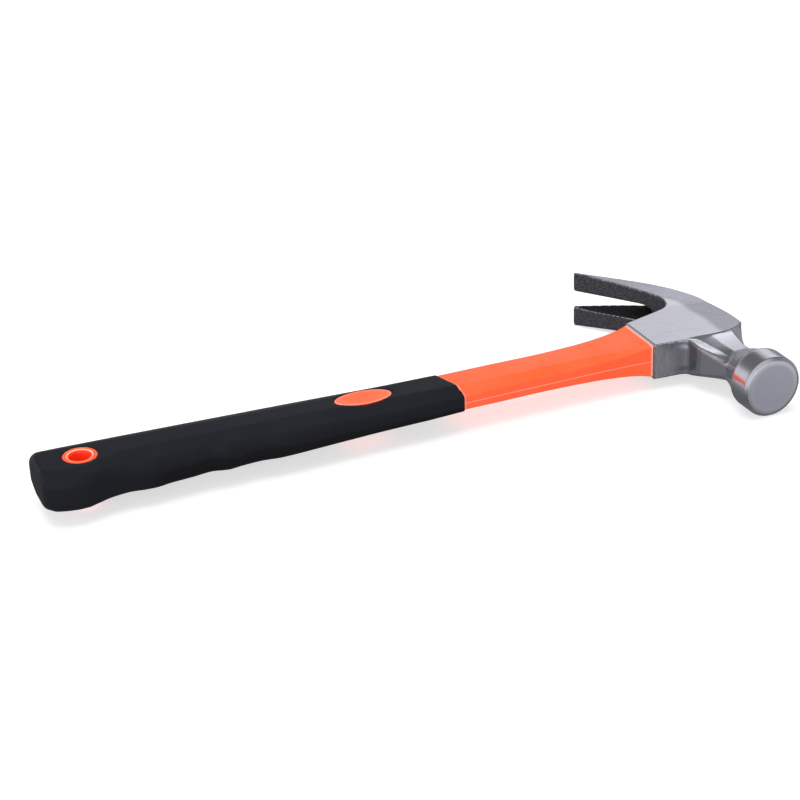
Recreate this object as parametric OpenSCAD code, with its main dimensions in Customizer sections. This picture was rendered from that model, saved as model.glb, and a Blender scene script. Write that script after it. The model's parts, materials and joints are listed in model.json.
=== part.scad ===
// Claw hammer with a steel head, a fibreglass core, an orange shaft jacket and
// an over-moulded black grip. Millimetres. It lies on its side, cheek up:
// +X runs along the handle to the crown of the head, +Y points to the claws,
// and +Z points up through the cheeks. The origin is under the middle of the
// bounding box, on the surface that the bell rests on.

/* [Overall] */
// Length from the butt of the grip to the crown of the head
overall_l = 326.3; // [320:0.1:332]
// Height of the crown above the bell's axis
crown_h = 16.3; // [14:0.1:17]

/* [Striking end] */
// Diameter of the bell, which is also the height of the part as it lies
face_d = 28; // [27:0.5:29]
// From the handle's centreline to the striking face
face_reach = 59.6; // [58:0.2:62]
// Length of the bell's straight side
bell_l = 10.4; // [9:0.2:12]
// Width of the bevel round the striking face
face_bevel = 1.3; // [0.8:0.1:2]
// Smallest diameter of the neck
neck_d = 19; // [18:0.5:20]

/* [Cheeks] */
// Thickness of the head across its cheeks
cheek_t = 17; // [16:0.5:18]
// From the bell's axis down to the lower face of the head
head_drop = 32.7; // [31:0.1:34]
// From the handle's centreline to the front of the cheeks
cheek_front = 14; // [13.5:0.1:15]

/* [Claws] */
// From the handle's centreline to the tips of the claws
claw_reach = 67; // [65:0.5:69]
// Width across both claws at their tips
claw_w = 28; // [26:0.2:28]
// Width of the nail slot at the tips, on the back of the claws
slot_w = 7.4; // [6.4:0.2:8]
// Radius of the throat between the claws and the cheeks
throat_r = 7; // [6.5:0.1:7.5]

/* [Eye] */
// Size of the eye from front to back of the head
eye_w = 17; // [16:0.5:18]
// Size of the eye across the cheeks
eye_t = 10; // [9.5:0.5:10.5]
// How far the bond and the core end below the crown
eye_recess = 2.8; // [2:0.1:4]

/* [Handle] */
// Width of the fibreglass core
core_w = 13; // [12:0.5:14]
// Thickness of the fibreglass core
core_t = 7; // [6.5:0.25:7.5]
// Width of the jacket where the grip covers it
tang_w = 18; // [17:0.5:19]
// Thickness of the jacket where the grip covers it
tang_t = 9.6; // [9.2:0.2:10]
// From the bell's axis to the front edge of the grip
grip_from = 125; // [120:1:130]
// Width of the grip over its heel, near the butt
butt_w = 34.5; // [34:0.5:38]
// Thickness of the grip at the butt
butt_t = 18.2; // [18:0.2:20]

/* [Hang hole and inlays] */
// From the bell's axis to the hang hole's axis
hole_at = 291.2; // [288:0.2:293]
// Diameter of the hang hole
hole_d = 8.8; // [8:0.2:9.4]
// Diameter of the eyelet's flanges
eyelet_d = 14.6; // [13.6:0.2:15.6]
// From the bell's axis to the middle of the oval inlays
inlay_at = 167; // [163:1:171]
// Length of an oval inlay
inlay_l = 25.8; // [24:0.2:28]
// Width of an oval inlay
inlay_w = 12.6; // [11:0.2:13]
// How far an inlay stands above the grip
inlay_proud = 0.3; // [0.1:0.1:0.5]

/* [Hidden] */

STEEL = [0.55, 0.55, 0.58];
ORANGE = [1.0, 0.38, 0.2];
BLACK = [0.09, 0.1, 0.12];
GLASS_FIBRE = [0.86, 0.82, 0.6];
RESIN = [0.74, 0.62, 0.36];

// The working origin: bell axis, handle centreline and mid-plane cross there
axis_pos = [
    overall_l / 2 - crown_h,
    face_reach - (face_reach + claw_reach) / 2,
    face_d / 2
];
butt_x = crown_h - overall_l;
far = 400;
cheek_z = cheek_t / 2;

// ---- helpers ---------------------------------------------------------

function mix(a, b, t) = a * (1 - t) + b * t;
function bezier(p, q, r, t) = mix(mix(p, q, t), mix(q, r, t), t);

// Skin of triangles between rings that have the same number of points
module loft(rings) {
    n = len(rings[0]);
    last = len(rings) - 1;
    sides = [
        for (i = [0 : last - 1], j = [0 : n - 1])
            let (a = i * n + j, b = i * n + (j + 1) % n)
            each [[a, b, b + n], [a, b + n, a + n]]
    ];
    front = [for (j = [n - 1 : -1 : 0]) j];
    back = [for (j = [0 : n - 1]) last * n + j];
    points = [for (ring = rings) each ring];
    polyhedron(points, concat([front], sides, [back]));
}

// Bar along X with semicircular edges, from x0 to x1
module obround_bar(w, t, x0, x1) {
    half = (w - t) / 2;
    translate([x0, -half, -t / 2]) cube([x1 - x0, 2 * half, t]);
    for (side = [-1, 1]) {
        translate([x0, side * half, 0]) rotate([0, 90, 0])
            cylinder(h = x1 - x0, d = t, $fn = 64);
    }
}

// ---- head ------------------------------------------------------------

// Half-width of the claws: parallel cheeks, then a flare to the tips
function half_w(y) = lookup(y, [
    [20, cheek_z], [30, cheek_z + 1.3], [40, cheek_z + 2.9],
    [54, cheek_z + 4.1], [claw_reach, claw_w / 2]
]);

// Back of the claws, from the rear of the crown to the tips
function claw_back(t) = bezier([13.1, 22], [10.3, 33.4], [-32, claw_reach], t);

// The cheeks fall away towards the outer edge: width of that band, and its drop at the edge
function fall_w(y) = lookup(y, [[12, 14.4], [22, 11.5], [30, 8.5], [38, 7], [50, 5], [67, 3.8]]);
function fall_drop(y) = lookup(y, [[20, 0.9], [34, 0.6], [67, 0.45]]);

// Side view as pairs of points: the outside of the head and the inside
throat_mid = [-12.5, 26.5];
function throat(a) = throat_mid + throat_r * [cos(a), sin(a)];
tip_in = [-31.5, claw_reach - 2.2];
crown_pairs = [
    [[crown_h - 0.4, -9], [-head_drop, -cheek_front + 0.7]],
    [[crown_h, -3], [-head_drop, -5]],
    [[crown_h - 0.4, 6], [-head_drop, 4]],
    [[crown_h - 1.8, 16], [-head_drop, 13]],
    [claw_back(0), mix([-head_drop, 13], throat(-75), 0.5)]
];
throat_steps = 8;
throat_pairs = [
    for (i = [0 : throat_steps])
        [claw_back(0.08 + 0.32 * i / throat_steps), throat(-75 + 112 * i / throat_steps)]
];
claw_steps = 6;
claw_pairs = [
    for (i = [1 : claw_steps])
        [claw_back(0.4 + 0.6 * i / claw_steps), mix(throat(37), tip_in, i / claw_steps)]
];
head_pairs = concat(crown_pairs, throat_pairs, claw_pairs);

// One ring of the head: flat cheeks, and the band along the outer edge
function head_ring(pair) =
    let (
        out = pair[0],
        in = pair[1],
        across = min(fall_w(out[1]), 0.6 * norm(in - out)),
        band = out + (in - out) / norm(in - out) * across,
        zo = half_w(out[1]) - fall_drop(out[1]),
        zb = half_w(band[1]),
        zi = half_w(in[1])
    ) [
        [in[0], in[1], -zi], [band[0], band[1], -zb], [out[0], out[1], -zo],
        [out[0], out[1], zo], [band[0], band[1], zb], [in[0], in[1], zi]
    ];

// The front of the cheeks is bevelled too, and leads into the neck
nose_bevel = 1.6;
nose_ring = [
    for (p = head_ring(crown_pairs[0]))
        [p[0], p[1] - nose_bevel, p[2] * (cheek_z - nose_bevel) / cheek_z]
];

module cheeks_and_claws() {
    loft(concat([nose_ring], [for (pair = head_pairs) head_ring(pair)]));
}

// Neck: faceted, with two ridges beside the handle and hollow flanks above and below them, and
// nearly round where it meets the bell. Each row has y, then the corners of its upper half in x
// and z: crown side, top towards the crown, top towards the handle, hollow, ridge
neck_rows = [
    [-38, [9.4, 3], [4.2, 8.4], [-3.8, 8.5], [-7.2, 6], [-10, 3.1]],
    [-32, [9.3, 1.6], [4.3, 7.2], [-3.8, 7.35], [-7.8, 5.3], [-11.5, 4.2]],
    [-26, [9.4, 1.3], [4.8, 7], [-4.2, 7.2], [-9.4, 5.9], [-14.1, 5.6]],
    [-21.5, [10, 1.5], [5.5, 7.1], [-4.4, 7.4], [-10.5, 6.5], [-15.8, 6.8]],
    [-18.5, [10.7, 1.8], [6, 7.3], [-4.5, 7.7], [-11.2, 7], [-16.2, 7.7]],
    [-16, [11.6, 2.2], [6.6, 7.5], [-4.5, 8], [-11.8, 7.6], [-16.8, 8.2]],
    [-14.5, [12.2, 2.8], [7.2, 7.6], [-4.3, 8.4], [-12.2, 8.3], [-20, 8.3]],
    [-10, [14.4, 3.8], [9.6, 7], [-4, 8.3], [-12.2, 8.3], [-20, 8.3]],
    [-6.5, [15.2, 4.6], [11.4, 6.8], [-4, 8.3], [-12.2, 8.3], [-20, 8.3]]
];

function neck_ring(row) = [
    for (i = [1 : 5]) [row[i][0], row[0], row[i][1]],
    for (i = [5 : -1 : 1]) [row[i][0], row[0], -row[i][1]]
];

module neck() {
    loft([for (row = neck_rows) neck_ring(row)]);
}

// Bell and the round end of the neck, turned about the Y axis
neck_end = -36;
face_y = -face_reach;
bell_back = face_y + face_bevel + bell_l;
flare_steps = 8;
bell_profile = concat(
    [
        [0, face_y],
        [face_d / 2 - face_bevel, face_y],
        [face_d / 2, face_y + face_bevel]
    ],
    [
        for (i = [0 : flare_steps])
            let (t = i / flare_steps)
            bezier(
                [face_d / 2, bell_back], [neck_d / 2 + 0.6, bell_back + 3.4],
                [neck_d / 2, neck_end], t
            )
    ],
    [[0, neck_end]]
);

module bell() {
    rotate([90, 0, 0]) mirror([0, 0, 1])
        rotate_extrude($fn = 96) polygon(bell_profile);
}

// Nail slot: a vee that closes towards the throat, wider on the inside
slot_apex = [-6.4, 43];
slot_l = 40;
slot_dir = [-cos(45), sin(45)];
slot_mouth = slot_apex + slot_l * slot_dir;

// Cross-section of the slot, square to the claws, at one point of the back
module slot_slice(at, back_half, inner_half) {
    translate([at[0], at[1], 0]) rotate([0, 0, 45])
        rotate([90, 0, 0]) linear_extrude(height = 0.1)
        polygon([
            [6, -back_half], [6, back_half], [0, back_half],
            [-16, inner_half], [-16, -inner_half], [0, -back_half]
        ]);
}

module nail_slot() {
    apex_half = 0.4;
    taper = (slot_w / 2 - apex_half) / norm([-32, claw_reach] - slot_apex);
    mouth_half = apex_half + slot_l * taper;
    hull() {
        slot_slice(slot_apex, apex_half, 3.2);
        slot_slice(slot_mouth, mouth_half, mouth_half + 1.6);
    }
}

module head() {
    color(STEEL) translate(axis_pos) difference() {
        union() {
            cheeks_and_claws();
            neck();
            bell();
        }
        obround_bar(eye_w, eye_t, -far, far);
        nail_slot();
    }
}

// ---- core and bond ---------------------------------------------------

bond_top = crown_h - eye_recess;
core_butt = -grip_from - 152;

module fibreglass_core() {
    color(GLASS_FIBRE) translate(axis_pos)
        obround_bar(core_w, core_t, core_butt, bond_top);
}

module epoxy_bond() {
    color(RESIN) translate(axis_pos) difference() {
        obround_bar(eye_w, eye_t, -head_drop, bond_top);
        obround_bar(core_w, core_t, -far, far);
    }
}

// ---- jacket ----------------------------------------------------------

// Eight-sided section: half-width, half-height of the side flat,
// half-width of the top flat and half-thickness
function octagon_ring(x, half_y, side_z, top_y, half_z) = [
    [x, half_y, -side_z], [x, half_y, side_z], [x, top_y, half_z], [x, -top_y, half_z],
    [x, -half_y, side_z], [x, -half_y, -side_z], [x, -top_y, -half_z], [x, top_y, -half_z]
];

// The shaft is slimmest in the middle and flares to meet the head
shaft_rings = [
    octagon_ring(-head_drop, 13, 7.4, 11.8, 7.9),
    octagon_ring(-39, 12.1, 6, 9.8, 7),
    octagon_ring(-48, 11.7, 4.8, 8.4, 6.5),
    octagon_ring(-60, 11.6, 3.9, 7.3, 6.2),
    octagon_ring(-84, 11.8, 3.2, 6.6, 6),
    octagon_ring(-108, 12, 3, 6.7, 6.1),
    octagon_ring(-grip_from, 12.3, 3, 6.6, 6.1)
];

tang_end = core_butt - 2;

module shaft_jacket() {
    color(ORANGE) translate(axis_pos) difference() {
        union() {
            loft(shaft_rings);
            obround_bar(tang_w, tang_t, tang_end, -grip_from + 1);
        }
        obround_bar(core_w, core_t, core_butt, far);
    }
}

// ---- grip ------------------------------------------------------------

butt_round = 5;
grip_steps = 62;
butt_steps = 5;

// Tables along the grip, by the distance from the bell's axis: half-width on the claws' side,
// half-width on the striking side with its finger grooves and heel, half-thickness,
// half-height of the flat sides, and half-widths of the flat top on either side
far_w = [[125, 13], [160, 13.6], [200, 14.5], [240, 15.4], [280, 16.2], [310, 16.6]];
near_w = [
    [125, 13.1], [145, 14], [160, 14.1], [180, 14.5], [194, 15], [205, 15.3], [209, 15.3],
    [219, 14], [226, 14.2], [232, 14.8], [240, 13.1], [247, 13.8], [257, 14.3], [264, 15.2],
    [268, 14.9], [275, 13.9], [282, 14.6], [289, butt_w - 17.8], [293, butt_w - 16.6],
    [296, butt_w - 16.5], [300, butt_w - 17.1], [304, butt_w - 18.2], [310, butt_w - 21]
];
half_t = [
    [125, 6.5], [158, 6.8], [176, 7.15], [203, 7.6], [238, 8.15], [280, 8.75], [310, butt_t / 2]
];
side_z = [[125, 3.1], [160, 3.1], [200, 3.4], [240, 3.8], [280, 4.3], [310, 4.6]];
top_w = [[125, 6.9], [176, 6.9], [203, 7.1], [238, 8.1], [280, 8.9], [310, 9.7]];
top_near = [[125, 6.8], [160, 6.5], [220, 6], [275, 6.4], [292, 9.5], [310, 8.5]];

// Shrink of the section as it rounds over at the butt
function butt_scale(x) =
    let (d = max(0, butt_round - (x - butt_x)))
    (butt_round - sqrt(butt_round * butt_round - d * d));

// One point of a softened corner: k is -1 before it, 0 on it and 1 after it
function soft_corner(corners, i, k, cut) =
    let (
        here = corners[i],
        before = mix(here, corners[(i + 7) % 8], cut),
        after = mix(here, corners[(i + 1) % 8], cut)
    )
    k < 0 ? before : k > 0 ? after : mix(here, (before + after) / 2, 0.5);

function grip_ring(x) =
    let (
        shrink = butt_scale(x),
        far_y = lookup(-x, far_w) - shrink,
        near_y = lookup(-x, near_w) - shrink,
        flat_z = lookup(-x, side_z) * (1 - shrink / 12),
        flat_far = lookup(-x, top_w) - 0.6 * shrink,
        flat_near = lookup(-x, top_near) - 0.6 * shrink,
        hz = lookup(-x, half_t) - shrink,
        cut = lookup(-x, [[125, 0.12], [180, 0.25], [310, 0.36]]),
        corners = [
            [far_y, flat_z], [flat_far, hz], [-flat_near, hz], [-near_y, flat_z],
            [-near_y, -flat_z], [-flat_near, -hz], [flat_far, -hz], [far_y, -flat_z]
        ]
    ) [
        for (i = [0 : 7], k = [-1 : 1])
            let (p = soft_corner(corners, i, k, cut)) [x, p[0], p[1]]
    ];

grip_stations = concat(
    [for (i = [0 : grip_steps]) mix(-grip_from, butt_x + butt_round, i / grip_steps)],
    [
        for (i = [1 : butt_steps])
            butt_x + butt_round * (1 - sin(90 * i / butt_steps) * 0.999)
    ]
);

// Half-thickness of the grip at the hang hole and at the inlays
function grip_half_t(x) = lookup(-x, half_t);
hole_half_t = grip_half_t(-hole_at);
inlay_half_t = grip_half_t(-inlay_at);
inlay_depth = 1.3;
inlay_tilt = atan((grip_half_t(-inlay_at - 5) - grip_half_t(-inlay_at + 5)) / 10);

// Oval plate that follows the slope of the grip, on the side that up names
module oval_plate(up) {
    translate([-inlay_at, 0, up * (inlay_half_t - inlay_depth)])
        rotate([0, up * inlay_tilt, 0])
        mirror([0, 0, up > 0 ? 0 : 1])
        linear_extrude(height = inlay_depth + inlay_proud)
        scale([inlay_l, inlay_w]) circle(d = 1, $fn = 64);
}

flange_t = 1.6;
barrel_d = hole_d + 3;
flange_top = hole_half_t + 0.1;

module eyelet_blank() {
    cylinder(h = 2 * flange_top, d = barrel_d, center = true, $fn = 96);
    for (side = [-1, 1]) {
        translate([0, 0, side * (flange_top - flange_t / 2)])
            cylinder(h = flange_t, d = eyelet_d, center = true, $fn = 96);
    }
}

module grip() {
    color(BLACK) translate(axis_pos) difference() {
        loft([for (x = grip_stations) grip_ring(x)]);
        obround_bar(tang_w, tang_t, tang_end, far);
        translate([-hole_at, 0, 0]) eyelet_blank();
        oval_plate(1);
        oval_plate(-1);
    }
}

// ---- inlays and eyelet -----------------------------------------------

module inlay_upper() {
    color(ORANGE) translate(axis_pos) oval_plate(1);
}

module inlay_lower() {
    color(ORANGE) translate(axis_pos) oval_plate(-1);
}

module hang_eyelet() {
    color(ORANGE) translate(axis_pos) translate([-hole_at, 0, 0]) difference() {
        eyelet_blank();
        cylinder(h = far, d = hole_d, center = true, $fn = 96);
    }
}

head();
fibreglass_core();
epoxy_bond();
shaft_jacket();
grip();
inlay_upper();
inlay_lower();
hang_eyelet();
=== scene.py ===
"""Visual model of a claw hammer that lies on its side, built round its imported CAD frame.

Shapes are worked out in millimetres in the hammer's own axes: x along the handle towards the
crown, y towards the claws, z up through the cheeks. Their origin is the point where the bell's
axis crosses the handle's centreline, and place() carries them into the frame, in metres."""

import json
import math

import bmesh
import bpy
import numpy as np
from mathutils import Matrix, Vector


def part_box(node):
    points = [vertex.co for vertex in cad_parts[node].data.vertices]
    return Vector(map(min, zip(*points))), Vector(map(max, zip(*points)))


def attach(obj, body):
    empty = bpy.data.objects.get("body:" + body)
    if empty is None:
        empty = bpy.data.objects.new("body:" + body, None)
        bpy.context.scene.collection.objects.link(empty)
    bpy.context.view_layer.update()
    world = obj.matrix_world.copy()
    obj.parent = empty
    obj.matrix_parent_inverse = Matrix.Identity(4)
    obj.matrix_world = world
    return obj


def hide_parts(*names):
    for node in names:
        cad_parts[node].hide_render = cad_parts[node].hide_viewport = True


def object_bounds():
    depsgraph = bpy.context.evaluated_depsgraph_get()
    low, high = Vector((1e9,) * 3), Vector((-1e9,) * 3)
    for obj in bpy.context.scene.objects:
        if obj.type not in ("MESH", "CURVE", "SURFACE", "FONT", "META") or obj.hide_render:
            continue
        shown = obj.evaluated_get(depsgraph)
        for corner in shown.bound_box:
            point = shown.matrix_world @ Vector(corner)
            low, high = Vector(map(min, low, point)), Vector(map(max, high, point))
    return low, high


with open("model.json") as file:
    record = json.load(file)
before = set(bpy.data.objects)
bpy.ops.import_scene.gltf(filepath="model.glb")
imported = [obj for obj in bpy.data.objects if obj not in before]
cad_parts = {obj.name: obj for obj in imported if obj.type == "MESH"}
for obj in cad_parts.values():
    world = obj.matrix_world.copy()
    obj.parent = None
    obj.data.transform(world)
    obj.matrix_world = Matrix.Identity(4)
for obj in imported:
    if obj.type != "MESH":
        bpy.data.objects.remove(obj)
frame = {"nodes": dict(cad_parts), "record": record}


def plain(box):
    return [[float(v) for v in corner] for corner in box]


CAD_BOX = plain(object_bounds())

# ---------------------------------------------------------------- frame

MOUNTS = {m["name"]: m for m in frame["record"]["mounts"]}
FACE_AT = MOUNTS["striking_face"]["pos_m"]
HOLE_AT = MOUNTS["hang_hole"]["pos_m"]
HOLE_R = MOUNTS["hang_hole"]["dims"]["r_mm"]
AXIS = np.array([FACE_AT[0], HOLE_AT[1], HOLE_AT[2]])
MM = 0.001


def place(points):
    """Points in millimetres in the hammer's own axes, as metres in the frame."""
    return np.asarray(points, float) * MM + AXIS


def local_box(node):
    low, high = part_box(node)
    return (np.array(low) - AXIS) / MM, (np.array(high) - AXIS) / MM


HEAD_LOW, HEAD_HIGH = local_box("head")
GRIP_LOW, GRIP_HIGH = local_box("grip")
FACE_Y = HEAD_LOW[1]
TIP_Y = HEAD_HIGH[1]
HEAD_BOTTOM = HEAD_LOW[0]
BUTT_X = GRIP_LOW[0]
GRIP_X = GRIP_HIGH[0]
HOLE_X = (HOLE_AT[0] - FACE_AT[0]) / MM

# ---------------------------------------------------------------- curves and distance fields


def curve(table):
    """A smooth function through (position, value) pairs, with no overshoot."""
    at, value = np.array(sorted(table), float).T
    step = np.diff(at)
    rise = np.diff(value) / step
    slope = np.zeros(len(at))
    slope[0], slope[-1] = rise[0], rise[-1]
    inner = rise[:-1] * rise[1:] > 0
    weight = (2 * step[1:] + step[:-1], step[1:] + 2 * step[:-1])
    with np.errstate(divide="ignore", invalid="ignore"):
        mean = (weight[0] + weight[1]) / (weight[0] / rise[:-1] + weight[1] / rise[1:])
    slope[1:-1] = np.where(inner, mean, 0)
    dense = np.linspace(at[0], at[-1], 40 * len(at))
    k = np.clip(np.searchsorted(at, dense, side="right") - 1, 0, len(step) - 1)
    t = (dense - at[k]) / step[k]
    fitted = (
        value[k] * (1 + 2 * t) * (1 - t) ** 2
        + slope[k] * step[k] * t * (1 - t) ** 2
        + value[k + 1] * t**2 * (3 - 2 * t)
        + slope[k + 1] * step[k] * t**2 * (t - 1)
    )
    return lambda x: np.interp(x, dense, fitted)


def smoothstep(low, high, x):
    t = np.clip((x - low) / (high - low), 0, 1)
    return t * t * (3 - 2 * t)


def round_max(a, b, r):
    """Where both shapes are, with the edge between them rounded to radius r."""
    corner = np.hypot(np.maximum(a + r, 0), np.maximum(b + r, 0))
    return np.minimum(np.maximum(a, b), -r) + corner


def round_min(a, b, r):
    """Both shapes together, with a fillet of radius r between them."""
    corner = np.hypot(np.maximum(r - a, 0), np.maximum(r - b, 0))
    return np.maximum(np.minimum(a, b), r) - corner


def outline_distance(u, v, points):
    """Signed distance from (u, v) to a closed outline, negative inside."""
    best = None
    sign = 1.0
    before = points[-1]
    for now in points:
        eu, ev = before[0] - now[0], before[1] - now[1]
        wu, wv = u - now[0], v - now[1]
        t = np.clip((wu * eu + wv * ev) / (eu * eu + ev * ev), 0, 1)
        gap = (wu - eu * t) ** 2 + (wv - ev * t) ** 2
        best = gap if best is None else np.minimum(best, gap)
        c1, c2, c3 = v >= now[1], v < before[1], eu * wv > ev * wu
        flip = (c1 & c2 & c3) | (~c1 & ~c2 & ~c3)
        sign = np.where(flip, -sign, sign)
        before = now
    return sign * np.sqrt(best)


def arc(centre, radius, start, end, count):
    """Points along an arc, by angle in degrees."""
    angles = np.radians(np.linspace(start, end, count))
    return [(centre[0] + radius * math.cos(a), centre[1] + radius * math.sin(a)) for a in angles]


def bezier(points, count):
    """Points along a quadratic curve."""
    p, q, r = (np.array(point, float) for point in points)
    ts = np.linspace(0, 1, count)
    return [tuple(p * (1 - t) ** 2 + 2 * q * t * (1 - t) + r * t * t) for t in ts]


def surface(field, low, high, step):
    """Quads over the zero surface of a distance field: one vertex in each cell that it crosses,
    and one quad round each grid edge that it crosses. The vertices are then drawn onto the surface."""
    axes = [np.arange(a, b + step, step) for a, b in zip(low, high)]
    grid = field(axes[0][:, None, None], axes[1][None, :, None], axes[2][None, None, :])
    shape = tuple(len(a) for a in axes)
    grid = np.broadcast_to(grid, shape)
    inside = grid < 0
    corners = [(i, j, k) for i in (0, 1) for j in (0, 1) for k in (0, 1)]

    def at(array, corner):
        return array[tuple(slice(c, n - 1 + c) for c, n in zip(corner, shape))]

    count = sum(at(inside, c).astype(np.int8) for c in corners)
    cells = np.argwhere((count > 0) & (count < 8))
    number = np.full([n - 1 for n in shape], -1, int)
    number[tuple(cells.T)] = np.arange(len(cells))
    total = np.zeros((len(cells), 3))
    hits = np.zeros(len(cells))
    for a in corners:
        for axis in range(3):
            if a[axis]:
                continue
            b = list(a)
            b[axis] = 1
            fa = grid[tuple((cells + a).T)]
            fb = grid[tuple((cells + b).T)]
            crossing = (fa < 0) != (fb < 0)
            t = np.where(crossing, fa / np.where(crossing, fa - fb, 1), 0)
            point = np.array(a, float) + t[:, None] * (np.array(b) - np.array(a))
            total += np.where(crossing[:, None], point, 0)
            hits += crossing
    points = (cells + total / hits[:, None]) * step + np.array([a[0] for a in axes])
    points = snap(field, points, step)
    quads = []
    for axis in range(3):
        u, v = (axis + 1) % 3, (axis + 2) % 3
        head = [slice(None)] * 3
        tail = [slice(None)] * 3
        head[axis], tail[axis] = slice(0, -1), slice(1, None)
        for s in (u, v):
            head[s] = tail[s] = slice(1, -1)
        first, second = inside[tuple(head)], inside[tuple(tail)]
        for rising in (False, True):
            edges = np.argwhere((first != second) & (second == rising))
            edges[:, [u, v]] += 1
            ring = []
            for du, dv in ((-1, -1), (0, -1), (0, 0), (-1, 0)):
                cell = edges.copy()
                cell[:, u] += du
                cell[:, v] += dv
                ring.append(number[tuple(cell.T)])
            quad = np.stack(ring, 1)
            quads.append(quad[:, ::-1] if rising else quad)
    return points, np.concatenate(quads)


def gradient(field, points, reach):
    slopes = []
    for axis in range(3):
        shift = np.zeros(3)
        shift[axis] = reach
        ahead = field(*(points + shift).T)
        behind = field(*(points - shift).T)
        slopes.append((ahead - behind) / (2 * reach))
    return np.stack(slopes, 1)


def snap(field, points, step, rounds=3):
    """Moves points onto the zero surface along the field's slope, by at most a fraction of a cell."""
    for _ in range(rounds):
        slope = gradient(field, points, 0.1 * step)
        size = (slope**2).sum(1)
        move = -(field(*points.T) / np.maximum(size, 0.1))[:, None] * slope
        length = np.linalg.norm(move, axis=1, keepdims=True)
        move *= np.minimum(1, 0.4 * step / np.maximum(length, 1e-9))
        points = points + move
    return points


# ---------------------------------------------------------------- meshes


def mesh_piece(name, points, faces, materials, nodes):
    """An object from points in the hammer's own millimetres, standing for the CAD nodes named."""
    mesh = bpy.data.meshes.new(name)
    mesh.from_pydata(place(points).tolist(), [], [list(map(int, f)) for f in faces])
    mesh.validate()
    mesh.update()
    mesh.shade_smooth()
    for material in materials:
        mesh.materials.append(material)
    piece = bpy.data.objects.new(name, mesh)
    bpy.context.scene.collection.objects.link(piece)
    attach(piece, "root")
    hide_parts(*nodes)
    return piece


def store(piece, name, values):
    """Keeps a value for each point of a piece, for its material to read."""
    attribute = piece.data.attributes.new(name, "FLOAT", "POINT")
    attribute.data.foreach_set("value", np.asarray(values, np.float32))


def loft(rings):
    """Points and quads of a skin through rings of equal count, with both ends closed."""
    count = len(rings[0])
    points = np.concatenate([np.asarray(r, float) for r in rings])
    faces = []
    for i in range(len(rings) - 1):
        for j in range(count):
            a, b = i * count + j, i * count + (j + 1) % count
            faces.append((a, b, b + count, a + count))
    faces.append(tuple(range(count - 1, -1, -1)))
    faces.append(tuple(range((len(rings) - 1) * count, len(rings) * count)))
    return points, faces


def outward(piece):
    """Turns every face of a piece to the outside."""
    bm = bmesh.new()
    bm.from_mesh(piece.data)
    bmesh.ops.recalc_face_normals(bm, faces=bm.faces)
    bm.to_mesh(piece.data)
    bm.free()


# ---------------------------------------------------------------- head

CHEEK_Z = 8.5
CHEEK_BACK = 13.2
TIP_X = -31.6
HEAD_GRID = 0.5
# Outlines that run on past the head end this far away
FAR = 400
BEYOND = 300
# Radii of the edge round the crown and the back of the claws, and of the inner edges
CROWN_EDGE_R = 1.2
INNER_EDGE_R = 0.5
# Width over which two nearly parallel faces blend
CREASE = 0.5
# The claws flare, so the field of their sides is a little steeper than a distance
SIDE_SCALE = 0.98

# Outside of the head in side view: the crown, then the back of the claws
CROWN_LINE = [(15.7, -9.5), (16.1, -7), (16.3, -2), (16.1, 4), (15.5, 10), (14.5, 16), (13.1, 22)]
CLAW_BACK = bezier([(13.1, 22), (10.3, 33.4), (TIP_X, TIP_Y)], 22)[1:]
OUTSIDE = CROWN_LINE + CLAW_BACK
OUTSIDE += [(-FAR, TIP_Y + BEYOND), (-FAR, -BEYOND), (CROWN_LINE[0][0], -BEYOND)]
# Inside: the lower face, the back of the cheeks, the throat, and the front of the claws
THROAT = arc((-12.6, 26.6), 7.2, -73, 36, 14)
INSIDE = [(HEAD_BOTTOM, -BEYOND), (HEAD_BOTTOM, CHEEK_BACK)] + THROAT
INSIDE += [(TIP_X, TIP_Y - 1.6), (TIP_X, TIP_Y + BEYOND), (FAR, TIP_Y + BEYOND), (FAR, -BEYOND)]
# Front: the block's front face, then the edge between cheek and neck, up to the crown
FRONT_LINE = [
    (-FAR, -13.7), (-14, -13.7), (-9, -14.3), (-3, -14.8), (2, -14.6), (7, -13.4), (11, -11.4),
    (15.6, -7.6), (60, 30), (60, FAR), (-FAR, FAR),
]

half_width = curve([
    (-80, CHEEK_Z), (18, CHEEK_Z), (24, 9.0), (30, 9.9), (36, 10.9), (44, 11.9), (54, 12.8),
    (60, 13.4), (TIP_Y, 14.1), (TIP_Y + 20, 15.5),
])
slot_back = curve([(-80, -8), (42.5, 0), (TIP_Y, 3.7), (TIP_Y + 20, 6.4)])
slot_front = curve([(-80, -60), (31.6, -2), (32.4, 1.4), (34, 3.2), (37, 4.3), (42, 4.6),
                    (TIP_Y + 20, 5.0)])
# The cheeks fall away slightly towards the crown and the back of the claws
fall_width = curve([(-80, 14.6), (12, 14.2), (22, 11.5), (30, 8.5), (38, 7), (50, 5), (80, 3.5)])
fall_slope = curve([(-80, 0.065), (20, 0.07), (34, 0.08), (60, 0.10), (80, 0.10)])


def soft_max(a, b, width):
    """The larger of two nearly parallel surfaces, eased across the crease between them."""
    mix = np.maximum(width - np.abs(a - b), 0) / width
    return np.maximum(a, b) + mix * mix * width / 4


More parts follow.
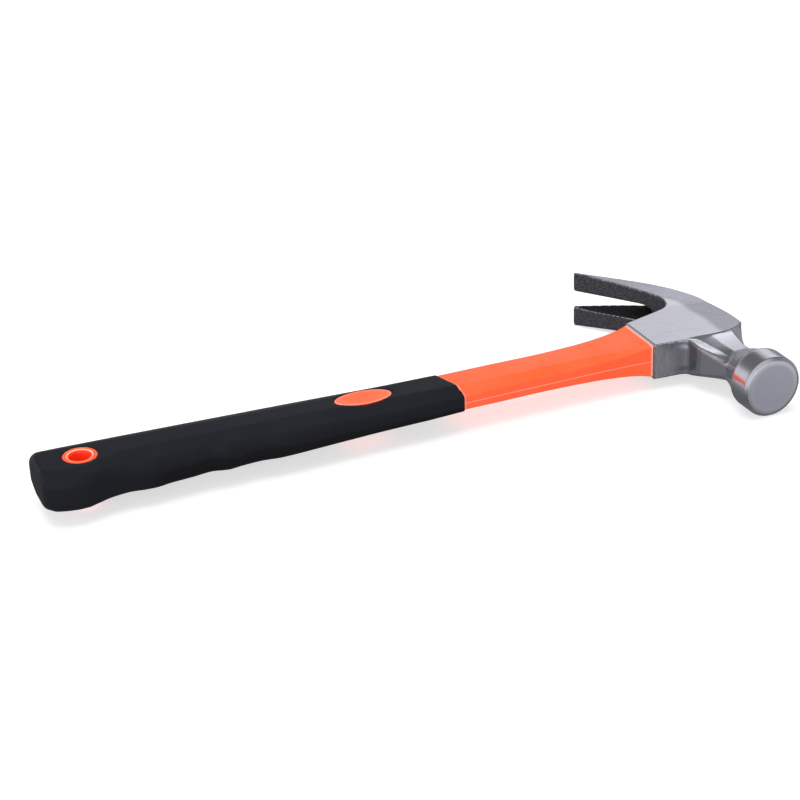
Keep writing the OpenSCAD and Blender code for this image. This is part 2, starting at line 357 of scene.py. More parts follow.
def blade_field(x, y, z):
    """Cheeks and claws, with the nail slot between the claws."""
    az = np.abs(z)
    outside = outline_distance(x, y, OUTSIDE)
    inside = outline_distance(x, y, INSIDE)
    side = az - half_width(y)
    fall = side + (outside + fall_width(y)) * fall_slope(y)
    side = soft_max(side, fall, CREASE) * SIDE_SCALE
    shape = round_max(outside, side, CROWN_EDGE_R)
    shape = np.maximum(shape, round_max(inside, side, INNER_EDGE_R))
    nose = outline_distance(x, y, FRONT_LINE)
    shape = np.maximum(shape, soft_max(nose, side, CREASE))
    depth = np.clip(-inside / np.maximum(-inside - outside, 0.5), 0, 1)
    gap = slot_front(y) * (1 - depth) + slot_back(y) * depth
    return round_max(shape, gap - az, INNER_EDGE_R)


# Corners of the neck's upper half along y, each as a table for x and one for z: the ridge beside
# the handle, the bottom and the top of the hollow flank, and the two corners on the crown side
NECK = [
    ([(-13.7, -30), (-14.2, -22), (-14.8, -18.8), (-16.0, -16.8), (-18.5, -16.2), (-20, -16.0),
      (-21.5, -15.8), (-23, -15.3), (-26, -14.05), (-29, -12.85), (-32, -11.5), (-35, -10.5),
      (-38, -10.0), (-42, -10.0)],
     [(-13.7, 8.3), (-16.5, 8.2), (-18.5, 7.75), (-21.5, 6.8), (-26, 5.65), (-32, 4.2), (-38, 3.1),
      (-42, 3.6)]),
    ([(-10, -13), (-14.5, -12.2), (-20, -10.8), (-26, -9.4), (-32, -7.8), (-38, -7.0), (-42, -7.1)],
     [(-13.9, 8.45), (-15, 7.65), (-16.5, 7.0), (-18.5, 6.5), (-21, 6.1), (-24, 5.8), (-28, 5.5),
      (-32, 5.25), (-36, 5.7), (-42, 7.1)]),
    ([(-10, -4), (-16, -4.5), (-24, -4.3), (-32, -3.8), (-42, -3.9)],
     [(-14.3, 8.45), (-15.2, 8.05), (-17, 7.75), (-20, 7.45), (-24, 7.2), (-28, 7.1), (-32, 7.3),
      (-36, 8.2), (-42, 9.3)]),
    ([(-4, 13.6), (-7, 13.2), (-9, 12.0), (-12, 9.0), (-14.5, 6.6), (-18, 6.0), (-22, 5.4), (-28, 4.5),
      (-34, 4.2), (-42, 3.9)],
     [(-4, 6.8), (-7, 6.85), (-9, 7.0), (-12, 7.45), (-14, 7.75), (-16, 7.6), (-18, 7.35), (-22, 7.1),
      (-27, 7.0), (-32, 7.2), (-36, 8.1), (-42, 9.3)]),
    ([(-2, 15.4), (-6.5, 15.3), (-8.5, 14.9), (-10, 14.4), (-12, 13.4), (-14, 12.4), (-16.5, 11.4),
      (-19.5, 10.4), (-23, 9.8), (-27, 9.3), (-34, 9.3), (-42, 9.6)],
     [(-2, 6.4), (-7, 6.3), (-9, 5.6), (-12, 4.0), (-16, 2.4), (-22, 1.4), (-28, 1.2), (-34, 2),
      (-42, 3.9)]),
]
NECK = [(curve(x_table), curve(z_table)) for x_table, z_table in NECK]
# Radius of the neck's corners, how far they are drawn in to leave room for it, and the middle
# that they are drawn towards
neck_round = curve([(-4, 0.3), (-14, 0.35), (-18, 0.7), (-24, 1.2), (-32, 2.0), (-36, 2.6), (-42, 3)])


NECK_DRAW = 1.12
NECK_MIDDLE = -0.5
NECK_END = -42
NECK_START = -4


def neck_field(x, y, z):
    """A faceted neck that turns into a round bar towards the bell."""
    r = neck_round(y)
    inset = []
    for fx, fz in NECK:
        px, pz = fx(y), fz(y)
        away = np.hypot(px - NECK_MIDDLE, pz)
        inset.append((px - r * (px - NECK_MIDDLE) / away * NECK_DRAW, pz - r * pz / away * NECK_DRAW))
    ring = inset + [(px, -pz) for px, pz in reversed(inset)]
    shape = outline_distance(x, z, ring) - r
    return np.maximum(shape, np.maximum(y - NECK_START, NECK_END - y))


# Half-section of the bell, as pairs of radius and place along the axis
BELL = [
    (0, FACE_Y), (6, FACE_Y + 0.05), (11, FACE_Y + 0.2), (12.5, FACE_Y + 0.45), (12.9, FACE_Y + 0.75),
    (13.95, FACE_Y + 1.6), (14, -48.4), (13.8, -47.4), (13.1, -46),
    (12.2, -44.4), (11.3, -42.4), (10.4, -40.4), (9.4, -38.4), (8.4, -37), (0, -37),
]


BELL_EDGE_R = 0.15


def bell_field(x, y, z):
    """Bell and face, turned about the y axis."""
    inset = [
        (max(r - BELL_EDGE_R, 0), along + BELL_EDGE_R if along < FACE_Y + 1 else along)
        for r, along in BELL
    ]
    return outline_distance(np.hypot(x, z), y, inset) - BELL_EDGE_R


EYE_LOW, EYE_HIGH = local_box("epoxy_bond")


def eye_field(x, y, z):
    """The eye: a hole with round ends, along the handle."""
    radius = EYE_HIGH[2]
    reach = EYE_HIGH[1] - radius
    return np.hypot(np.maximum(np.abs(y) - reach, 0), z) - radius + 0 * x


BELL_FILLET_R = 2.5
HOLLOW_R = 3.5
EYE_EDGE_R = 0.3


def head_field(x, y, z):
    """The whole head: neck, bell, cheeks and claws, with the eye through it."""
    shape = round_min(neck_field(x, y, z), bell_field(x, y, z), BELL_FILLET_R)
    # The block's front runs out into the underside of the neck in a hollow, and the hollow dies
    # away towards the cheeks and towards the crown
    hollow = HOLLOW_R * smoothstep(-8.4, -4.0, -np.abs(z)) * smoothstep(-6, -14, x) + 0.01
    shape = round_min(shape, blade_field(x, y, z), hollow)
    return round_max(shape, -eye_field(x, y, z), EYE_EDGE_R)


# Places of the head's finishes in its list of materials
POLISHED, CHEEK, BLOCK_FRONT, CLAW_INSIDE, GROUND, SLOT_WALL = range(6)


def build_head(materials):
    """Steel in six finishes; the slot walls' near black is painted shade, and the block front's darker
    tone is partly painted shade. The point values rim and band say how near a point is to the face's
    rim, which gets a painted highlight, and whether it lies in the band round the crown, which is
    darkened as painted shade."""
    margin = 2 * HEAD_GRID
    points, faces = surface(head_field, HEAD_LOW - margin, HEAD_HIGH + margin, HEAD_GRID)
    points = np.clip(points, HEAD_LOW, HEAD_HIGH)
    piece = mesh_piece("head_steel", points, faces, materials, ["head"])
    middle = points[faces].mean(1)
    slope = gradient(head_field, middle, 0.05)
    slope /= np.linalg.norm(slope, axis=1, keepdims=True)
    x, y, z = middle.T
    upright = np.abs(slope[:, 2]) < 0.6
    level = np.abs(slope[:, 2]) > 0.75
    on_inside = np.abs(outline_distance(x, y, INSIDE)) < 0.6
    slot_wall = (y > 31) & (x < 3) & (np.abs(z) < half_width(y) - 3) & level
    # The block's front, whose steel is darker partly for its brushed finish and partly as painted shade
    block_front = (y < -12.5) & (y > -24) & (x < -12) & upright
    kind = np.where(block_front, BLOCK_FRONT, POLISHED)
    kind = np.where((y > -15.2) & level, CHEEK, kind)
    kind = np.where((y > 13.3) & on_inside & upright, CLAW_INSIDE, kind)
    # The nail slot's walls get a near-black copy of the forged finish, as painted shade
    kind = np.where(slot_wall, SLOT_WALL, kind)
    kind = np.where((y < FACE_Y + 0.6) & (slope[:, 1] < -0.9), GROUND, kind)
    piece.data.polygons.foreach_set("material_index", kind.astype(np.int32))
    from_axis = np.hypot(points[:, 0], points[:, 2])
    # How near a point is to the face's rim, where the face's material paints a highlight
    store(piece, "rim", smoothstep(9.5, 12.4, from_axis))
    x, y, _ = points.T
    # The band round the crown and the back of the claws, which the brushed steel darkens as painted
    # shade
    inward = outline_distance(x, y, OUTSIDE) + fall_width(y) + 4 * smoothstep(22, 34, y)
    store(piece, "band", smoothstep(-2.2, 2.0, inward))
    return piece


# ---------------------------------------------------------------- shaft jacket

# Along the shaft: half-width, half-height of the side flat, half-width of the top flat and
# half-thickness
SHAFT = {
    "half_y": [(GRIP_X, 12.4), (-108, 12.0), (-84, 11.8), (-60, 11.6), (-48, 11.7), (-39, 12.2),
               (HEAD_BOTTOM, 13.0)],
    "side_z": [(GRIP_X, 3.0), (-108, 3.0), (-84, 3.2), (-60, 3.9), (-48, 4.8), (-39, 6.0),
               (HEAD_BOTTOM, 7.4)],
    "top_y": [(GRIP_X, 6.6), (-108, 6.7), (-84, 6.6), (-60, 7.3), (-48, 8.4), (-39, 9.8),
              (HEAD_BOTTOM, 11.8)],
    "half_z": [(GRIP_X, 6.1), (-108, 6.1), (-84, 6.0), (-60, 6.2), (-48, 6.5), (-39, 7.0),
               (HEAD_BOTTOM, 7.9)],
}
shaft = {name: curve(table) for name, table in SHAFT.items()}
JACKET_CORNER_R = 0.7
SEAM = 0.1

# How far the grip's front edge lies back from its foremost point, by the place across the handle
edge_back = curve([(-14, 0.0), (-12, 0.0), (-7, 0.8), (0, 2.8), (7, 4.9), (13, 6.0), (16, 6.0)])


def rounded_octagon(half_y, side_z, top_y, half_z, steps=4):
    """Points round the jacket's eight-sided section, in y and z, with rounded corners and a
    parting line that stands out a little on both sides."""
    corners = [(half_y, side_z), (top_y, half_z), (-top_y, half_z), (-half_y, side_z),
               (-half_y, -side_z), (-top_y, -half_z), (top_y, -half_z), (half_y, -side_z)]
    points = []
    for i, corner in enumerate(corners):
        here = Vector(corner)
        before = (Vector(corners[i - 1]) - here).normalized()
        after = (Vector(corners[(i + 1) % 8]) - here).normalized()
        half = before.angle(after) / 2
        reach = JACKET_CORNER_R / math.tan(half)
        start, end = here + before * reach, here + after * reach
        for s in range(steps + 1):
            t = s / steps
            points.append(start * (1 - t) ** 2 + here * 2 * t * (1 - t) + end * t * t)
        if i in (3, 7):
            side = -half_y if i == 3 else half_y
            out = math.copysign(SEAM, side)
            way = -1 if i == 3 else 1
            points += [Vector((side, -0.35 * way)), Vector((side, -0.25 * way)),
                       Vector((side + out, -0.1 * way)), Vector((side + out, 0.1 * way)),
                       Vector((side, 0.25 * way)), Vector((side, 0.35 * way))]
    return points


def build_jacket(materials):
    """Jacket, with a point value that is high at both ends and on the parting line, for a painted
    highlight. Its last rings lean with the grip's front edge."""
    rings = []
    stations = [HEAD_BOTTOM - 0.02, HEAD_BOTTOM - 0.25, HEAD_BOTTOM - 0.6]
    stations += list(np.linspace(HEAD_BOTTOM - 1.1, GRIP_X + 1.2, 90))
    stations += [GRIP_X + 0.7, GRIP_X + 0.3, GRIP_X - 0.2, GRIP_X - 3]
    for i, x in enumerate(stations):
        shrink = (0.4, 0.1)[i] if i < 2 else 0
        section = rounded_octagon(
            shaft["half_y"](x) - shrink, shaft["side_z"](x), shaft["top_y"](x) - shrink,
            shaft["half_z"](x) - shrink)
        lean = float(smoothstep(GRIP_X + 25, GRIP_X + 3, x))
        rings.append([(x - lean * float(edge_back(p[0])), p[0], p[1]) for p in section])
    points, faces = loft(rings)
    piece = mesh_piece("shaft_jacket_skin", points, faces, materials, ["shaft_jacket"])
    outward(piece)
    x = np.repeat(stations, len(rings[0]))
    y, z = points[:, 1], points[:, 2]
    # Painted highlight at both ends of the jacket and along the parting line
    at_head = 0.8 - 0.8 * smoothstep(0.6, 1.2, HEAD_BOTTOM - x)
    at_grip = 0.35 - 0.35 * smoothstep(0.3, 0.9, x - GRIP_X)
    seam = np.where((np.abs(z) < 0.2) & (np.abs(y) > 9), 0.4, 0)
    store(piece, "lip_highlight", np.maximum(np.maximum(at_head, at_grip), seam))
    return piece


# ---------------------------------------------------------------- grip

# Along the grip: half-width on the claws' side, half-width on the striking side with its finger
# grooves and heel, half-thickness, half-sizes of the flat sides and top, and corner radius
GRIP = {
    "far": [(GRIP_X, 12.95), (-160, 13.55), (-200, 14.45), (-240, 15.35), (-280, 16.1), (-305, 16.5),
            (BUTT_X, 16.5)],
    "near": [(GRIP_X, 13.05), (-145, 13.95), (-160, 14.05), (-180, 14.45), (-194, 14.9), (-205, 15.25),
             (-209, 15.2), (-219, 13.95), (-226, 14.15), (-232, 14.75), (-240, 13.05), (-247, 13.75),
             (-257, 14.25), (-264, 15.15), (-268, 14.85), (-275, 13.85), (-282, 14.55), (-289, 16.65),
             (-293, 17.85), (-296, 17.95), (-300, 17.35), (-304, 16.25), (BUTT_X, 13.4)],
    "half_z": [(GRIP_X, 6.45), (-158, 6.75), (-176, 7.1), (-203, 7.55), (-238, 8.1), (-280, 8.7),
               (BUTT_X, 9.05)],
    "side_z": [(GRIP_X, 3.1), (-160, 3.1), (-200, 3.4), (-240, 3.8), (-280, 4.3), (BUTT_X, 4.6)],
    "top_far": [(GRIP_X, 6.9), (-176, 6.9), (-203, 7.1), (-238, 8.1), (-280, 8.9), (BUTT_X, 9.7)],
    "top_near": [(GRIP_X, 6.8), (-160, 6.5), (-220, 6.0), (-275, 6.4), (-292, 9.5), (BUTT_X, 8.5)],
    "round": [(GRIP_X, 0.8), (-150, 1.3), (-180, 2.6), (-220, 3.6), (-280, 4.6), (BUTT_X, 5.0)],
}
grip = {name: curve(table) for name, table in GRIP.items()}
BUTT_ROUND = 4.5
GRIP_GRID = 0.85

INLAY_LOW, INLAY_HIGH = local_box("inlay_upper")
INLAY_X = (INLAY_LOW[0] + INLAY_HIGH[0]) / 2
INLAY_A = (INLAY_HIGH[0] - INLAY_LOW[0]) / 2
INLAY_B = INLAY_HIGH[1]
EYELET_LOW, EYELET_HIGH = local_box("hang_eyelet")
FLANGE_R = EYELET_HIGH[1]
FLANGE_T = 1.6
BARREL_R = HOLE_R + 1.5


GRIP_DRAW = 1.1


def pulled_in(corner, radius):
    """A section's corner drawn towards its middle, to leave room for rounding by the radius."""
    y, z = corner
    away = np.hypot(y, z)
    return y - radius * y / away * GRIP_DRAW, z - radius * z / away * GRIP_DRAW


def grip_field(x, y, z):
    """The grip, with recesses for the eyelet and the oval inlays."""
    radius = grip["round"](x)
    side, half = grip["side_z"](x), grip["half_z"](x)
    upper = [(grip["far"](x), side), (grip["top_far"](x), half), (-grip["top_near"](x), half),
             (-grip["near"](x), side)]
    upper = [pulled_in(corner, radius) for corner in upper]
    ring = upper + [(cy, -cz) for cy, cz in reversed(upper)]
    shape = outline_distance(y, z, ring) - radius
    shape = round_max(shape, BUTT_X - x, BUTT_ROUND)
    shape = round_max(shape, x - GRIP_X + edge_back(y), 0.5)
    ring_distance = np.hypot(x - HOLE_X, y)
    recess = np.maximum(ring_distance - FLANGE_R - 0.05, EYELET_HIGH[2] - FLANGE_T - np.abs(z))
    recess = np.minimum(recess, ring_distance - BARREL_R - 0.05)
    oval = (np.hypot((x - INLAY_X) / INLAY_A, y / INLAY_B) - 1) * INLAY_B - 0.05
    recess = np.minimum(recess, np.maximum(oval, half - 0.7 - np.abs(z)))
    return round_max(shape, -recess, 0.15)


crease_z = curve([(GRIP_X, -1.4), (-158, -0.9), (-182, -0.6), (-204, -0.1), (-215, 0.7), (-221, 0.5),
                  (-228, -0.3), (-234, 0.4), (-244, 1.4), (-247, 0.5), (-258, 0.7), (BUTT_X, 0.7)])


def build_grip(materials):
    """Rubber, with a value for how far a point lies below the crease along the striking side, where the
    rubber is darkened as painted shade.
    """
    margin = 2 * GRIP_GRID
    points, faces = surface(grip_field, GRIP_LOW - margin, GRIP_HIGH + margin, GRIP_GRID)
    points = np.clip(points, GRIP_LOW, GRIP_HIGH)
    piece = mesh_piece("grip_rubber", points, faces, materials, ["grip"])
    x, y, z = points.T
    fade = smoothstep(-276, -256, x)
    # Below the crease on the striking side the rubber is darkened, as painted shade
    below = smoothstep(-0.45, 0.45, crease_z(x) - z) * smoothstep(4, 9, -y) * fade
    store(piece, "below_crease_shade", below)
    return piece


# ---------------------------------------------------------------- inlays and eyelet


def build_inlay(name, side, material):
    """Oval plate with a rounded rim, let into the grip's flat on one side."""
    slope = (float(grip["half_z"](INLAY_X - 5)) - float(grip["half_z"](INLAY_X + 5))) / 10
    top = INLAY_HIGH[2] - slope * INLAY_A - 0.02
    steps = [(1.0, -1.5), (1.0, -0.22), (0.992, -0.1), (0.975, -0.02), (0.955, 0.0), (0.6, 0.01)]
    rings = []
    for size, height in steps:
        ring = []
        for k in range(96):
            angle = 2 * math.pi * k / 96
            dx, dy = INLAY_A * size * math.cos(angle) * 0.998, INLAY_B * size * math.sin(angle) * 0.998
            ring.append((INLAY_X + dx, dy, side * (top + height - slope * dx)))
        rings.append(ring)
    points, faces = loft(rings)
    low, high = local_box(name)
    points = np.clip(points, low, high)
    piece = mesh_piece(name + "_plate", points, faces, [material], [name])
    outward(piece)
    # A ring just inside the plate's rounded rim, for a painted highlight
    store(piece, "lip_highlight", np.repeat([0, 0, 0.45, 0.45, 0.1, 0], 96))
    return piece


def build_eyelet(materials):
    """Barrel with a flange at each end: rounded rim, flat ring, and an eased mouth."""
    top = EYELET_HIGH[2]
    half = [(HOLE_R, 0.0), (HOLE_R, top - 1.5), (HOLE_R + 0.15, top - 0.9), (HOLE_R + 0.5, top - 0.35),
            (HOLE_R + 0.8, top - 0.12), (HOLE_R + 1.0, top - 0.03), (HOLE_R + 1.3, top),
            (FLANGE_R - 0.6, top),
            (FLANGE_R - 0.25, top - 0.07), (FLANGE_R - 0.05, top - 0.28), (FLANGE_R, top - 0.6),
            (FLANGE_R, top - FLANGE_T), (BARREL_R, top - FLANGE_T), (BARREL_R, 0.0)]
    profile = half + [(r, -z) for r, z in reversed(half[1:-1])]
    count = 96
    points, faces = [], []
    for r, z in profile:
        for k in range(count):
            angle = 2 * math.pi * k / count
            points.append((HOLE_X + r * math.cos(angle), r * math.sin(angle), z))
    n = len(profile)
    for i in range(n):
        for k in range(count):
            a, b = i * count + k, i * count + (k + 1) % count
            c, d = (i + 1) % n * count + (k + 1) % count, (i + 1) % n * count + k
            faces.append((a, b, c, d))
    piece = mesh_piece("eyelet_ring", points, faces, materials, ["hang_eyelet"])
    outward(piece)
    # A ring at the eased mouth, for a painted highlight
    from_mouth = np.abs(np.repeat([r for r, _ in profile], count) - HOLE_R - 0.9)
    store(piece, "lip_highlight", np.where(from_mouth < 0.15, 0.75, 0))
    # Faces inside the bore take the deeper orange, as painted shade
    for face in piece.data.polygons:
        ring = face.index // count
        reach = max(profile[ring][0], profile[(ring + 1) % n][0])
        face.material_index = 1 if reach < HOLE_R + 0.6 else 0
    return piece


# ---------------------------------------------------------------- materials


class Nodes:
    """A material's shader and its nodes."""

    def __init__(self, name, colour, roughness, metallic=0.0, specular=0.5):
        self.material = bpy.data.materials.new(name)
        self.material.use_nodes = True
        self.tree = self.material.node_tree
        self.shader = self.tree.nodes["Principled BSDF"]
        self.set("Base Color", (*colour, 1))
        self.set("Roughness", roughness)
        self.set("Metallic", metallic)
        self.set("Specular IOR Level", specular)
        coords = self.tree.nodes.new("ShaderNodeTexCoord")
        self.position = coords.outputs["Object"]

    def set(self, socket, value):
        self.shader.inputs[socket].default_value = value

    def add(self, kind, **values):
        made = self.tree.nodes.new(kind)
        for key, value in values.items():
            setattr(made, key, value)
        return made

    def link(self, start, end):
        self.tree.links.new(start, end)

    def stretched(self, turn, size):
        """Object coordinates turned about z by degrees, then scaled, one figure per axis."""
        rotate = self.add("ShaderNodeVectorRotate", rotation_type="Z_AXIS")
        rotate.inputs["Angle"].default_value = math.radians(turn)
        self.link(self.position, rotate.inputs["Vector"])
        scale = self.add("ShaderNodeVectorMath", operation="MULTIPLY")
        scale.inputs[1].default_value = size
        self.link(rotate.outputs["Vector"], scale.inputs[0])
        return scale.outputs["Vector"]

    def noise(self, scale, detail=2.0, vector=None, roughness=0.5):
        made = self.add("ShaderNodeTexNoise")
        made.inputs["Scale"].default_value = scale
        made.inputs["Detail"].default_value = detail
        made.inputs["Roughness"].default_value = roughness
        self.link(vector or self.position, made.inputs["Vector"])
        return made.outputs["Fac"]

    def spread(self, value, low, high, start=0.3, end=0.7):
        made = self.add("ShaderNodeMapRange")
        made.inputs["From Min"].default_value = start
        made.inputs["From Max"].default_value = end
        made.inputs["To Min"].default_value = low
        made.inputs["To Max"].default_value = high
        self.link(value, made.inputs["Value"])
        return made.outputs["Result"]

    def vary(self, value, dark, light):
        """Base colour between two colours, by a value from 0 to 1."""
        made = self.add("ShaderNodeMix", data_type="RGBA")
        for socket in made.inputs:
            if socket.type == "RGBA":
                socket.default_value = (*(dark if socket.name == "A" else light), 1)
        self.link(value, made.inputs["Factor"])
        colour = [o for o in made.outputs if o.type == "RGBA"][0]
        self.link(colour, self.shader.inputs["Base Color"])

    def shade(self, name, tint):
        """Multiplies the varied base colour by a tint where the named attribute is 1."""
        base = self.shader.inputs["Base Color"]
        start = base.links[0].from_socket
        attribute = self.add("ShaderNodeAttribute", attribute_name=name)
        made = self.add("ShaderNodeVectorMath", operation="MULTIPLY")
        blend = self.add("ShaderNodeMix", data_type="VECTOR")
        for socket in blend.inputs:
            if socket.type == "VECTOR" and socket.name in "AB":
                socket.default_value = (1, 1, 1) if socket.name == "A" else tint
        self.link(attribute.outputs["Fac"], blend.inputs["Factor"])
        factor = [socket for socket in blend.outputs if socket.type == "VECTOR"][0]
        self.link(start, made.inputs[0])
        self.link(factor, made.inputs[1])
        self.link(made.outputs["Vector"], base)

    def bump(self, height, distance, strength=1.0):
        made = self.add("ShaderNodeBump")
        made.inputs["Strength"].default_value = strength
        made.inputs["Distance"].default_value = distance
        self.link(height, made.inputs["Height"])
        self.link(made.outputs["Normal"], self.shader.inputs["Normal"])


STEEL_TINT = (0.60, 0.60, 0.68)


def polished_steel():
    made = Nodes("polished_steel", STEEL_TINT, 0.2, 1.0)
    speckle = made.noise(1400, 2.0)
    made.link(made.spread(speckle, 0.17, 0.26), made.shader.inputs["Roughness"])
    made.bump(speckle, 0.000012, 0.5)
    return made.material


def brushed_steel(name, turn, size, dark=(0.52, 0.52, 0.60), light=(0.68, 0.68, 0.77)):
    made = Nodes(name, STEEL_TINT, 0.24, 1.0)
    grain = made.noise(1.0, 2.0, made.stretched(turn, size), 0.6)
    made.vary(made.spread(grain, 0.0, 1.0), dark, light)
    # Darkens the band round the crown and the back of the claws: painted shade
    made.shade("band", (0.58, 0.58, 0.61))
    made.link(made.spread(grain, 0.32, 0.20), made.shader.inputs["Roughness"])
    made.bump(grain, 0.00003, 0.5)
    return made.material


def ground_face():
    """The striking face: finely ground, and brighter towards its rim as a painted highlight."""
    made = Nodes("ground_face", STEEL_TINT, 0.30, 1.0)
    attribute = made.add("ShaderNodeAttribute", attribute_name="rim")
    made.vary(attribute.outputs["Fac"], (0.66, 0.67, 0.80), (0.92, 0.93, 1.0))
    made.bump(made.noise(1800, 2.0), 0.00001, 0.3)
    return made.material


def black_forged(name, light):
    """Forging scale, pitted, between near black and the given colour."""
    made = Nodes(name, (0.02, 0.019, 0.022), 0.45, 0.0, 0.4)
    pits = made.noise(1700, 3.0, None, 0.7)
    made.vary(made.spread(pits, 0.0, 1.0, 0.38, 0.68), (0.005, 0.005, 0.007), light)
    made.bump(pits, 0.0003, 1.0)
    return made.material


def plastic():
    """Moulded plastic, a little paler along its edges and parting line as a painted highlight."""
    made = Nodes("orange_plastic", (0.98, 0.115, 0.035), 0.34, 0.0, 0.35)
    cloud = made.spread(made.noise(60, 3.0), 0.0, 0.04)
    lip_highlight = made.add("ShaderNodeAttribute", attribute_name="lip_highlight")
    total = made.add("ShaderNodeMath", operation="ADD")
    made.link(cloud, total.inputs[0])
    made.link(lip_highlight.outputs["Fac"], total.inputs[1])
    made.vary(total.outputs[0], (0.96, 0.090, 0.017), (1.0, 0.55, 0.45))
    made.bump(made.noise(900, 2.0), 0.00003, 0.4)
    return made.material


def shaded_bore_plastic():
    """The eyelet's bore, a deeper orange that is painted shade inside the hole."""
    made = Nodes("orange_bore_shade", (0.98, 0.045, 0.015), 0.4, 0.0, 0.3)
    made.bump(made.noise(900, 2.0), 0.00003, 0.4)
    return made.material


def black_rubber():
    made = Nodes("black_rubber", (0.012, 0.0125, 0.016), 0.5, 0.0, 0.2)
    attribute = made.add("ShaderNodeAttribute", attribute_name="below_crease_shade")
    # Darker below the crease: painted shade on the lower flank
    made.vary(attribute.outputs["Fac"], (0.0062, 0.0072, 0.0112), (0.0034, 0.0035, 0.005))
    grain = made.noise(2400, 2.0)
    made.link(made.spread(grain, 0.48, 0.62), made.shader.inputs["Roughness"])
    made.bump(grain, 0.00005, 0.5)
    return made.material


def fibre():
    made = Nodes("fibreglass", (0.72, 0.64, 0.42), 0.5)
    strands = made.noise(1.0, 2.0, made.stretched(0, (12, 1800, 1800)))
    made.vary(made.spread(strands, 0.0, 1.0), (0.62, 0.54, 0.34), (0.8, 0.74, 0.52))
    return made.material


def resin():
    made = Nodes("epoxy_resin", (0.55, 0.40, 0.18), 0.22)
    made.vary(made.spread(made.noise(300, 2.0), 0.0, 1.0), (0.48, 0.34, 0.14), (0.6, 0.45, 0.22))
    return made.material


# ---------------------------------------------------------------- pieces

ORANGE = plastic()
# In the order of the head's finishes
build_head([
    polished_steel(),
    brushed_steel("brushed_cheek", 35, (90, 2900, 400), (0.56, 0.56, 0.64), (0.66, 0.66, 0.74)),
    # The block front's darker colours: partly its brushed finish, partly painted shade
    brushed_steel("brushed_front_shaded", 0, (3200, 3200, 160), (0.42, 0.42, 0.47), (0.50, 0.50, 0.56)),
    black_forged("black_forged", (0.072, 0.073, 0.090)),
    ground_face(),
    # A near-black copy of the forged finish for the slot walls: painted shade inside the slot
    black_forged("slot_painted_shade", (0.007, 0.006, 0.007)),
])
build_jacket([ORANGE])
build_grip([black_rubber()])
build_inlay("inlay_upper", 1, ORANGE)
build_inlay("inlay_lower", -1, ORANGE)
build_eyelet([ORANGE, shaded_bore_plastic()])
for node, material in (("fibreglass_core", fibre()), ("epoxy_bond", resin())):
    mesh = frame["nodes"][node].data
    mesh.materials.clear()
    mesh.materials.append(material)

# ---------------------------------------------------------------- stage, lights and camera


def plane(name, size, height):
    mesh = bpy.data.meshes.new(name)
    corners = [(x * size, y * size, height) for x, y in ((-1, -1), (1, -1), (1, 1), (-1, 1))]
    mesh.from_pydata(corners, [], [(0, 1, 2, 3)])
    piece = bpy.data.objects.new(name, mesh)
    bpy.context.scene.collection.objects.link(piece)
    return piece


floor = plane("floor", 4.0, CAD_BOX[0][2])
pale = Nodes("floor_white", (0.45, 0.45, 0.45), 0.9, 0.0, 0.1)
pale.set("Emission Color", (1, 1, 1, 1))
pale.set("Emission Strength", 0.62)
floor.data.materials.append(pale.material)
floor.visible_glossy = False


class Sky:
    """A studio as a world: a brightness for each direction."""

    def __init__(self):
        self.world = bpy.data.worlds.new("studio")
        self.world.use_nodes = True
        bpy.context.scene.world = self.world
        self.tree = self.world.node_tree
        self.tree.nodes.clear()
        coords = self.tree.nodes.new("ShaderNodeTexCoord")
        self.way = coords.outputs["Generated"]
        self.total = None

    def link(self, start, end):
        self.tree.links.new(start, end)

    def by_height(self, stops):
        """Brightness by elevation, as (degrees, value) pairs."""
        split = self.tree.nodes.new("ShaderNodeSeparateXYZ")
        self.link(self.way, split.inputs[0])
        scale = self.tree.nodes.new("ShaderNodeMapRange")
        scale.inputs["From Min"].default_value = -1
        self.link(split.outputs["Z"], scale.inputs["Value"])
        ramp = self.tree.nodes.new("ShaderNodeValToRGB")
        self.link(scale.outputs["Result"], ramp.inputs["Fac"])
        elements = ramp.color_ramp.elements
        places = [(math.sin(math.radians(angle)) / 2 + 0.5, value) for angle, value in stops]
        elements[0].position, elements[1].position = places[0][0], places[-1][0]
        for position, _ in places[1:-1]:
            elements.new(position)
        for element, (_, value) in zip(elements, places):
            element.color = (value, value, value, 1)
        self.total = ramp.outputs["Color"]

    def blob(self, azimuth, elevation, radius, edge, value):
        """Adds a soft round light, or takes one away, in one direction. Angles in degrees."""
        a, e = math.radians(azimuth), math.radians(elevation)
        dot = self.tree.nodes.new("ShaderNodeVectorMath")
        dot.operation = "DOT_PRODUCT"
        dot.inputs[1].default_value = (math.cos(e) * math.cos(a), math.cos(e) * math.sin(a), math.sin(e))
        self.link(self.way, dot.inputs[0])
        fade = self.tree.nodes.new("ShaderNodeMapRange")
        fade.interpolation_type = "SMOOTHSTEP"
        fade.inputs["From Min"].default_value = math.cos(math.radians(radius + edge))
        fade.inputs["From Max"].default_value = math.cos(math.radians(radius))
        fade.inputs["To Max"].default_value = value
        self.link(dot.outputs["Value"], fade.inputs["Value"])
        add = self.tree.nodes.new("ShaderNodeVectorMath")
        add.operation = "ADD"
        self.link(self.total, add.inputs[0])
        self.link(fade.outputs["Result"], add.inputs[1])
        self.total = add.outputs["Vector"]

    def finish(self):
        back = self.tree.nodes.new("ShaderNodeBackground")
        out = self.tree.nodes.new("ShaderNodeOutputWorld")
        self.link(self.total, back.inputs["Color"])
        self.link(back.outputs["Background"], out.inputs["Surface"])


sky = Sky()
sky.by_height([(-90, 0.22), (-42, 0.15), (-30, 0.18), (-18, 0.30), (-9, 0.45), (0, 0.40), (12, 0.40),
               (22, 0.34), (32, 0.20), (45, 0.18), (65, 0.22), (90, 0.24)])
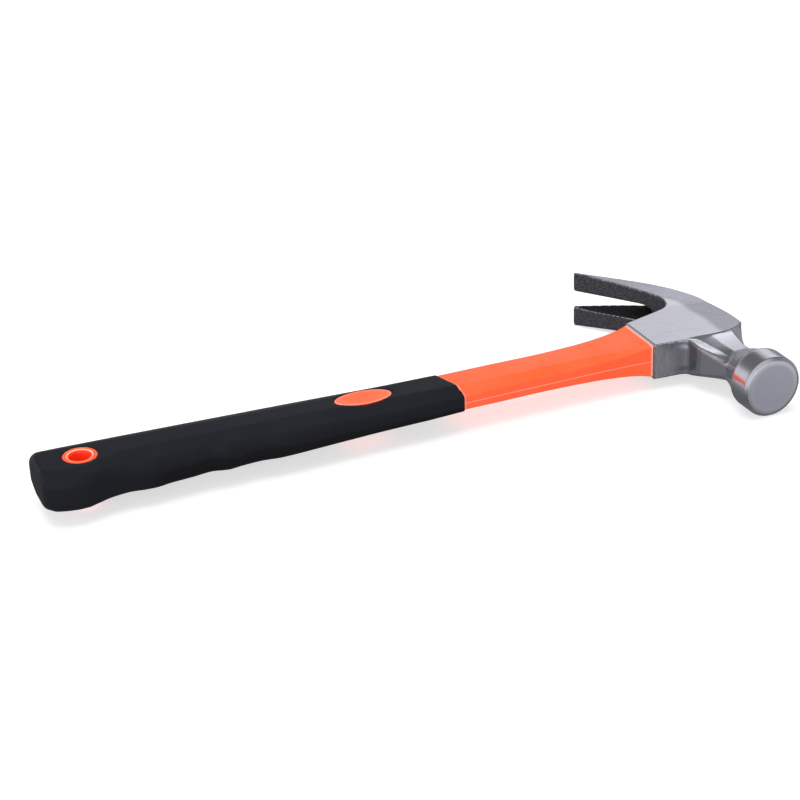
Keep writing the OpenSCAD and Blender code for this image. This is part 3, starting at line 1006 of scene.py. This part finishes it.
# Soft lights: azimuth, elevation, radius, width of the edge, brightness
SKY_LIGHTS = [
    (55, 27, 9, 13, 0.58),  # mirrored in the upper cheek
    (44, 37, 6, 10, 0.7),  # mirrored in the top of the neck
    (131, 5, 9, 14, 0.50),  # mirrored in the side of the bell
    (46, 0, 5, 12, -0.12),  # a darker patch low in the sky
    (-52, -25, 7, 16, 0.22),  # mirrored in the striking face
    (-120, 35, 35, 30, 0.5),  # wide, from behind the camera
]
for light in SKY_LIGHTS:
    sky.blob(*light)
sky.finish()


def soft_light(name, at, aim, size, power):
    """A large soft lamp that lights the surfaces but isn't mirrored in the steel."""
    lamp = bpy.data.lights.new(name, "AREA")
    lamp.shape = "DISK"
    lamp.size = size
    lamp.energy = power
    lamp_object = bpy.data.objects.new(name, lamp)
    lamp_object.location = at
    lamp_object.rotation_euler = (Vector(at) - Vector(aim)).to_track_quat("Z", "Y").to_euler()
    lamp_object.visible_glossy = False
    bpy.context.scene.collection.objects.link(lamp_object)


soft_light("overhead", (0.0, 0.2, 1.5), (0, 0, 0), 1.6, 26)
soft_light("front_fill", (-0.5, -1.4, 0.5), (0, 0, 0), 1.2, 4)
soft_light("butt_fill", (-1.3, -0.2, 0.35), (-0.16, 0, 0.01), 0.8, 6)

# The camera stands off the striking side, a little past the butt, and looks down on the cheek
CAMERA_AT = (-439.18, -719.70, 385.45)
CAMERA_RIGHT = (0.92031, -0.38944, -0.03693)
CAMERA_BACK = (-0.33419, -0.83177, 0.44325)
LENS_MM = 90.23

camera_data = bpy.data.cameras.new("camera")
camera_data.sensor_width = 36
camera_data.lens = LENS_MM
camera_data.clip_end = 20
camera = bpy.data.objects.new("camera", camera_data)
bpy.context.scene.collection.objects.link(camera)
right, back_axis = Vector(CAMERA_RIGHT).normalized(), Vector(CAMERA_BACK).normalized()
up = back_axis.cross(right)
turn = Matrix((right, up, back_axis)).transposed().to_4x4()
camera.matrix_world = Matrix.Translation(Vector(place(CAMERA_AT))) @ turn
bpy.context.scene.camera = camera
bpy.context.scene.view_settings.view_transform = "Standard"
